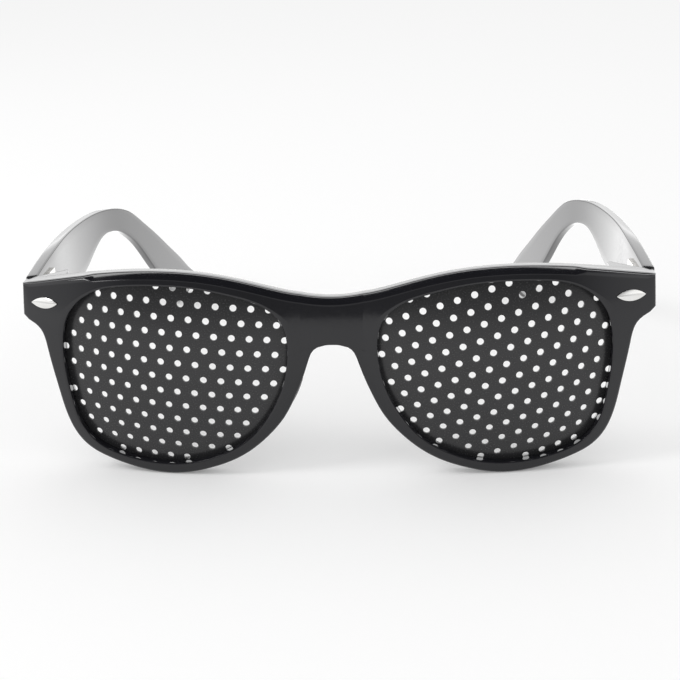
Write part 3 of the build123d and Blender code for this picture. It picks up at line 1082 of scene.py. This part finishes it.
def placedRivet(name, origin, out, along):
    seed = meshFrom("rivetSeed", [(0, 0, 0)], [])
    values = {key: rivet[key] for key in rivetSizes}
    values["finish"] = materials["brightRivet"]
    mesh = fromNodes(name, seed, rivetTree, values)
    out, along = Vector(out).normalized(), Vector(along)
    along = (along - out * along.dot(out)).normalized()
    pose = Matrix((along, out.cross(along), out)).transposed()
    for vert in mesh.vertices:
        vert.co = pose @ vert.co + Vector(origin)
    work = bmesh.new()
    work.from_mesh(mesh)
    rim = [e for e in work.edges if len(e.link_faces) == 1]
    bmesh.ops.holes_fill(work, edges=rim, sides=0)
    work.to_mesh(mesh)
    work.free()
    return mesh


def addRivet(name, body, node, pose):
    mesh = placedRivet(name, *pose)
    makePiece(name, mesh, body, "brightRivet", [node], 50)


def templeRivetPose(side):
    line = planLine(temple["outerShares"]).T
    y, z = rivet["templeY"], rivet["templeZ"]
    x = float(np.interp(y, *line))
    slope = float(np.interp(y + 1, *line) - np.interp(y - 1, *line)) / 2
    here, there = swung([(x, y, z), (x + slope, y + 1, z)], side)
    along = Vector(there) - Vector(here)
    return here, along.cross(up) * side, along


rivetTree = buildRivetTree()
for name, side in sides:
    addRivet(name + "FrontRivetCap", "front", name + "_front_rivet", rivetPose(side))
    addRivet(
        name + "TempleRivetCap", name + "_arm", name + "_temple_rivet", templeRivetPose(side)
    )
print("rivets made")

for name, side in sides:
    for part in ("front_hinge", "temple_hinge", "hinge_screw"):
        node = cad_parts[name + "_" + part]
        node.data.materials.clear()
        node.data.materials.append(materials["hingeMetal"])
print("hinges dressed")


studio = {
    "floorSize": 8.0,
    "floorGap": 0.00003,
    "floorColour": 0.84,
    "floorRough": 0.9,
    "floorGlow": 0.15,
    "ambient": 0.9,
    # brightness of the reflections from the front horizon (0) over the top (90) to the back (180)
    "arch": [
        (0, 0.22), (13, 0.22), (19, 0.55), (58, 0.55), (64, 0.03), (100, 0.03), (103, 6.0),
        (113, 6.0), (116, 0.03), (134, 0.03), (138, 3.5), (150, 3.1), (158, 2.7), (161, 3.3),
        (163, 4.2), (165.3, 2.7), (176, 1.7), (180, 1.2),
    ],
    "sideLow": 1.25,
    "sideFade": (0.5, 0.9),
    "sideFoot": (0.18, 0.28),
    "footShare": 0.7,
    "sideTop": (0.7, 0.88),
    "aim": (0, 0.05, 0),
    "lamps": {
        "keyBox": {
            "place": (-0.75, -0.25, 0.8),
            "size": (0.3, 0.3),
            "level": 7.8,
            "plain": True,
            "flat": False,
        },
        "lightTable": {
            "place": (0, 0.32, 0.0015),
            "size": (0.6, 0.55),
            "level": 1.5,
            "plain": False,  # only shows in the gloss
            "flat": True,
        },
    },
}


def addFloor():
    half = studio["floorSize"] / 2
    z = min(0, cadBounds[0][2]) - studio["floorGap"]
    corners = [(-half, -half, z), (half, -half, z), (half, half, z), (-half, half, z)]
    mesh = meshFrom("floor", corners, [(0, 1, 2, 3)])
    floor = bpy.data.objects.new("floor", mesh)
    scene.collection.objects.link(floor)
    material = bpy.data.materials.new("paperFloor")
    material.use_nodes = True
    tree = material.node_tree
    _, number = toolsFor(tree)
    shader = tree.nodes["Principled BSDF"]
    shader.inputs["Base Color"].default_value = (studio["floorColour"],) * 3 + (1,)
    shader.inputs["Roughness"].default_value = studio["floorRough"]
    shader.inputs["Specular IOR Level"].default_value = 0.0
    path = addNode(tree, "ShaderNodeLightPath").outputs
    seen = number("ADD", path["Is Camera Ray"], path["Is Glossy Ray"])
    seen = number("ADD", seen, path["Is Transmission Ray"])
    shader.inputs["Emission Color"].default_value = (1, 1, 1, 1)
    glow = number("MULTIPLY", seen, studio["floorGlow"])
    tree.links.new(glow, shader.inputs["Emission Strength"])
    mesh.materials.append(material)


def addSky():
    # even light for the shading; the reflections see softboxes along an arch, and lighter sides
    world = bpy.data.worlds.new("studioSky")
    scene.world = world
    world.use_nodes = True
    world.cycles.sampling_method = "NONE"  # so that shading and reflections get their own skies
    tree = world.node_tree
    put, number = toolsFor(tree)

    def ramp(value, span, start, stop):
        values = {"Value": value, "To Min": start, "To Max": stop}
        values["From Min"], values["From Max"] = span
        return put("ShaderNodeMapRange", values, interpolation_type="SMOOTHSTEP")

    way = addNode(tree, "ShaderNodeTexCoord").outputs["Generated"]
    x, y, z = addNode(tree, "ShaderNodeSeparateXYZ", {0: way}).outputs
    angle = number("DIVIDE", number("ARCTAN2", z, number("MULTIPLY", y, -1.0)), pi)
    arch = addNode(tree, "ShaderNodeValToRGB", {0: angle})
    stops = arch.color_ramp.elements
    while len(stops) < len(studio["arch"]):
        stops.new(0.5)
    for stop, (degree, level) in zip(stops, studio["arch"]):
        stop.position = degree / 180
        stop.color = (level, level, level, 1)
    foot = ramp(z, studio["sideFoot"], studio["footShare"], 1.0)
    side = number("MULTIPLY", foot, ramp(z, studio["sideTop"], studio["sideLow"], 0.0))
    share = ramp(number("ABSOLUTE", x), studio["sideFade"], 0.0, 1.0)
    bright = put("ShaderNodeMix", {"Factor": share, "A": arch.outputs[0], "B": side})
    diffuse = addNode(tree, "ShaderNodeLightPath").outputs["Is Diffuse Ray"]
    strength = put("ShaderNodeMix", {"Factor": diffuse, "A": bright, "B": studio["ambient"]})
    back = tree.nodes["Background"]
    back.inputs["Color"].default_value = (1, 1, 1, 1)
    tree.links.new(strength, back.inputs["Strength"])


def addLamps():
    for name, lamp in studio["lamps"].items():
        data = bpy.data.lights.new(name, "AREA")
        data.shape = "RECTANGLE"
        data.size, data.size_y = lamp["size"]
        data.energy = lamp["level"] * pi * data.size * data.size_y
        item = bpy.data.objects.new(name, data)
        item.location = lamp["place"]
        aim = up if lamp["flat"] else Vector(studio["aim"]) - Vector(lamp["place"])
        item.rotation_euler = aim.to_track_quat("-Z", "Y").to_euler()
        item.visible_camera = False
        item.visible_diffuse = lamp["plain"]
        scene.collection.objects.link(item)


addFloor()
addSky()
addLamps()
print("studio set")
